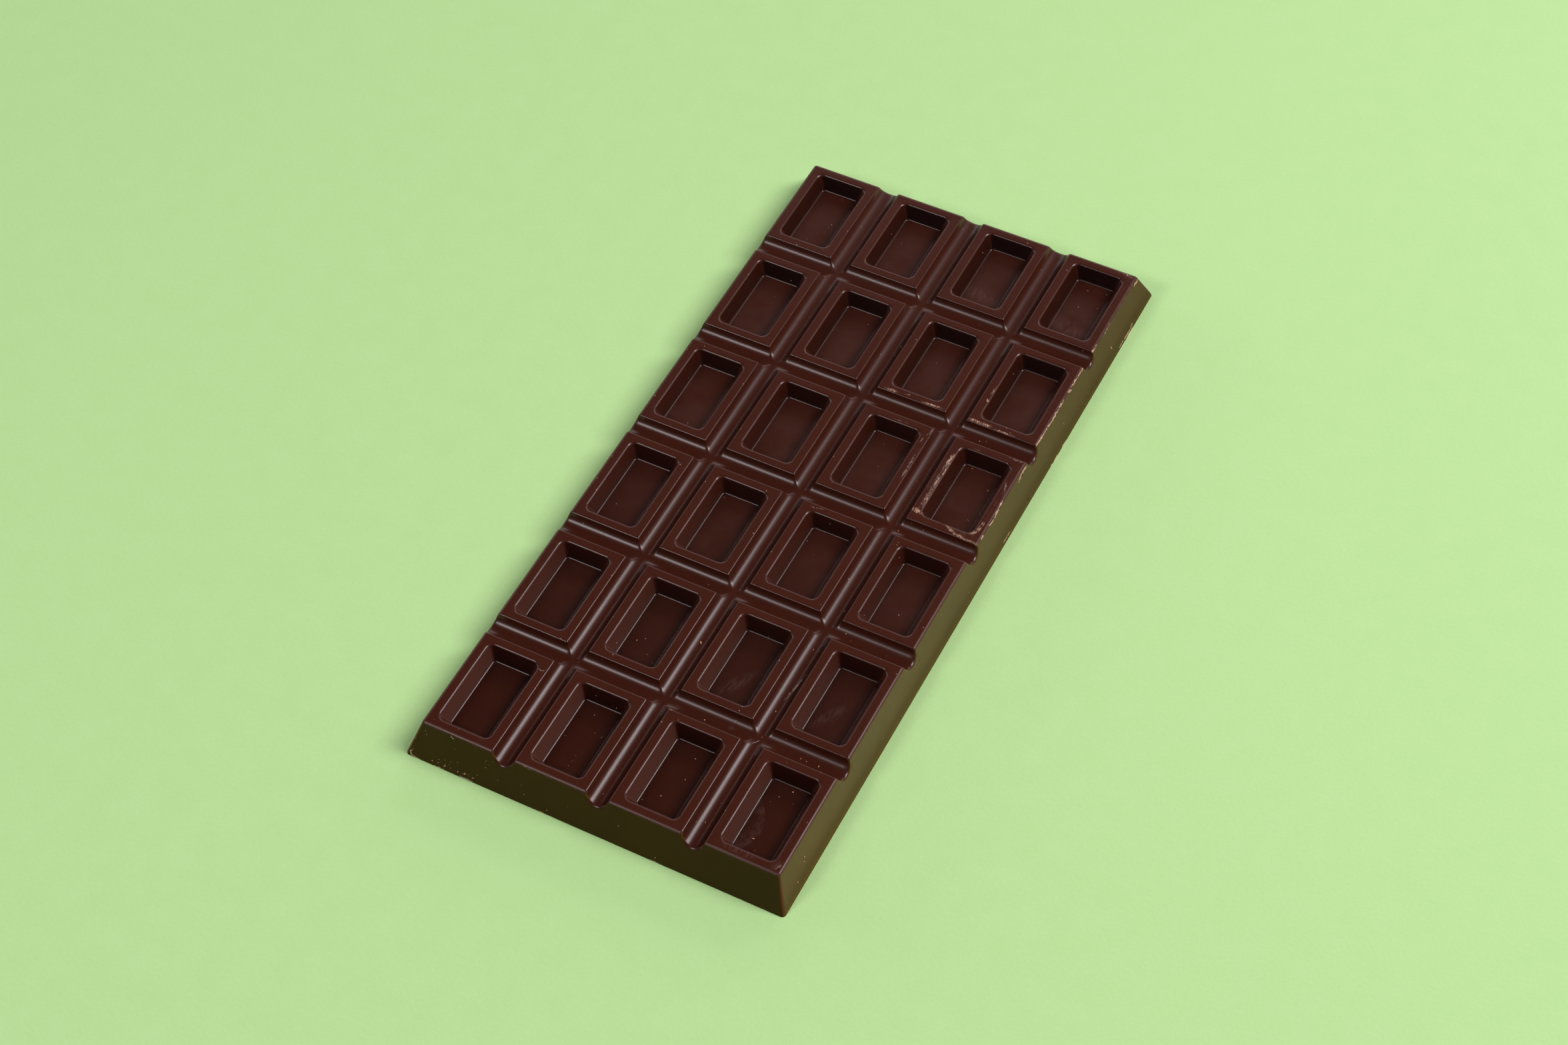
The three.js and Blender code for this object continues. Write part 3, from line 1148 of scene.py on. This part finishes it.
def crumbMaterial(name, colours):
    material, shader, place = newMaterial(name)
    patches = ramp(blotches(place, *crumb["patches"]), *crumb["patchFade"])
    feed(shader, {
        "Base Color": mixColour(patches, *colours),
        "Normal": relief(times(blotches(place, *crumb["grain"]), crumb["grainHeight"])),
        "Roughness": crumb["roughness"],
        "Specular IOR Level": crumb["specular"],
    })
    return material


def restingPlaces(values):
    # The nearest spot on the tablet, and the way its surface faces there
    spots = []
    for place in values["places"]:
        _, spot, normal, _ = darkTablet.closest_point_on_mesh(Vector(place) * mm)
        spots.append((spot, normal))
    return spots


def scatterCrumbs(name, values):
    # One mesh of small broken lumps, each sunk a little into what it lies on
    draw = random.Random(values["seed"])
    spots = restingPlaces(values)
    deselectObjects()
    bpy.ops.object.add(type="MESH", location=(0, 0, 0))
    piece = namePiece(name)
    openEdit(piece)
    for number, (spot, normal) in enumerate(spots):
        size = draw.uniform(*values["size"]) * mm
        centre = spot + normal * size * crumb["sunk"]
        stretch = [draw.uniform(*limits) for limits in crumb["stretch"]]
        addLump(centre, size / 2, crumb, values["seed"] + number, stretch)
        bpy.ops.transform.rotate(value=draw.uniform(0, math.pi), orient_axis="Z", center_override=centre)
        lean = draw.uniform(-crumb["lean"], crumb["lean"])
        bpy.ops.transform.rotate(value=lean, orient_axis="X", center_override=centre)
    closeEdit()
    piece.data.materials.append(crumbMaterial(name, values["colours"]))
    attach(piece, "root")
    return piece


# Short white hairs of lint: the points each one passes, in millimetres
lintHairs = {
    "radius": 0.022,
    "roundness": 1,
    "colour": (0.75, 0.72, 0.68),
    "hairs": (
        ((19.0, -55.9, 5.72), (19.4, -55.6, 5.85), (19.7, -55.2, 5.8), (19.9, -54.8, 5.68)),
        ((-30.6, -79.86, 7.3), (-30.4, -79.98, 7.15), (-30.1, -80.05, 7.05), (-29.9, -80.0, 7.08)),
    ),
}


def layHairs():
    pieces = []
    for points in lintHairs["hairs"]:
        deselectObjects()
        bpy.ops.curve.primitive_nurbs_path_add(location=(0, 0, 0))
        hair = bpy.context.active_object
        while len(hair.data.splines[0].points) > len(points):
            bpy.ops.object.mode_set(mode="EDIT")
            bpy.ops.curve.select_all(action="DESELECT")
            hair.data.splines[0].points[-1].select = True
            bpy.ops.curve.delete(type="VERT")
            closeEdit()
        spline = hair.data.splines[0]
        for point, place in zip(spline.points, points):
            point.co = (*(Vector(place) * mm), 1)
        spline.use_endpoint_u = True
        hair.data.bevel_depth = lintHairs["radius"] * mm
        hair.data.bevel_resolution = lintHairs["roundness"]
        hair.data.use_fill_caps = True
        bpy.ops.object.convert(target="MESH")
        pieces.append(bpy.context.active_object)
    makeActive(pieces[0])
    for hair in pieces[1:]:
        hair.select_set(True)
    bpy.ops.object.join()
    piece = namePiece("lint_hairs")
    openEdit(piece)
    selectAll()
    bpy.ops.mesh.remove_doubles(threshold=near / 2)
    bpy.ops.mesh.normals_make_consistent(inside=False)
    closeEdit()
    piece.data.materials.clear()
    piece.data.materials.append(crumbMaterial("lint", (lintHairs["colour"], lintHairs["colour"])))
    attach(piece, "root")
    return piece


crumbs = [
    scatterCrumbs("tan_crumbs", tanCrumbs),
    scatterCrumbs("dark_crumbs", darkCrumbs),
    scatterCrumbs("pale_crumbs", paleCrumbs),
    layHairs(),
]
print("crumbs and lint:", sum(len(piece.data.polygons) for piece in crumbs), "faces")


view = {
    "location": (173.330 * mm, -312.628 * mm, 453.947 * mm),
    "turn": (37.97279, 1.66352, 27.40168),      # degrees
    "lens": 67.5869,
    "sensorWidth": 36,
    "nearest": 10 * mm,
}
floorSize = 4
floorLevel = -0.02 * mm


def buildFloor():
    deselectObjects()
    bpy.ops.mesh.primitive_plane_add(size=floorSize, location=(0, 0, floorLevel))
    floor = namePiece("paper_floor")
    fixPlace()
    floor.data.materials.append(paperMaterial())
    return floor


def buildCamera():
    deselectObjects()
    bpy.ops.object.camera_add(location=view["location"], rotation=[math.radians(a) for a in view["turn"]])
    camera = bpy.context.active_object
    camera.name = "camera"
    camera.data.lens = view["lens"]
    camera.data.sensor_width = view["sensorWidth"]
    camera.data.clip_start = view["nearest"]
    bpy.context.scene.camera = camera


# Each light is a plain soft panel. Its azimuth runs clockwise from the back of the tablet,
# and both angles are given from edge to edge as the tablet sees them.
lights = {
    "leftFront": {"azimuth": (-157, -137), "elevation": (38, 50), "distance": 1.0, "radiance": 17.0},
    "rightBack": {"azimuth": (48, 77), "elevation": (35, 64), "distance": 1.3, "radiance": 15.5},
    "leftBack": {"azimuth": (-63, -51), "elevation": (29, 37), "distance": 1.2, "radiance": 2.2},
    "backLow": {"azimuth": (-50, 35), "elevation": (8, 32), "distance": 1.5, "radiance": 1.6},
    "leftLow": {"azimuth": (-110, -60), "elevation": (5, 20), "distance": 1.5, "radiance": 2.2},
}
skyStrength = 0.03
lightColour = (1.04, 0.96, 0.965)


def addLight(name, values):
    turnFrom, turnTo = (math.radians(angle) for angle in values["azimuth"])
    riseFrom, riseTo = (math.radians(angle) for angle in values["elevation"])
    turn, rise = (turnFrom + turnTo) / 2, (riseFrom + riseTo) / 2
    toward = Vector((math.cos(rise) * math.sin(turn), math.cos(rise) * math.cos(turn), math.sin(rise)))
    reach = 2 * values["distance"]
    width = reach * math.cos(rise) * math.tan((turnTo - turnFrom) / 2)
    length = reach * math.tan((riseTo - riseFrom) / 2)
    deselectObjects()
    bpy.ops.object.light_add(type="AREA", location=toward * values["distance"])
    light = bpy.context.active_object
    light.name = name
    light.rotation_euler = toward.to_track_quat("Z", "Y").to_euler()
    light.data.shape = "RECTANGLE"
    light.data.size = width
    light.data.size_y = length
    light.data.energy = math.pi * width * length * values["radiance"]
    light.data.color = lightColour
    return light


def buildWorld():
    world = bpy.data.worlds.new("studio")
    world.use_nodes = True
    background = world.node_tree.nodes["Background"]
    background.inputs["Color"].default_value = (1, 1, 1, 1)
    background.inputs["Strength"].default_value = skyStrength
    bpy.context.scene.world = world


buildFloor()
buildCamera()
for name, values in lights.items():
    addLight(name, values)
buildWorld()
bpy.context.scene.view_settings.view_transform = "Standard"
print("stage, camera and lights are in place")
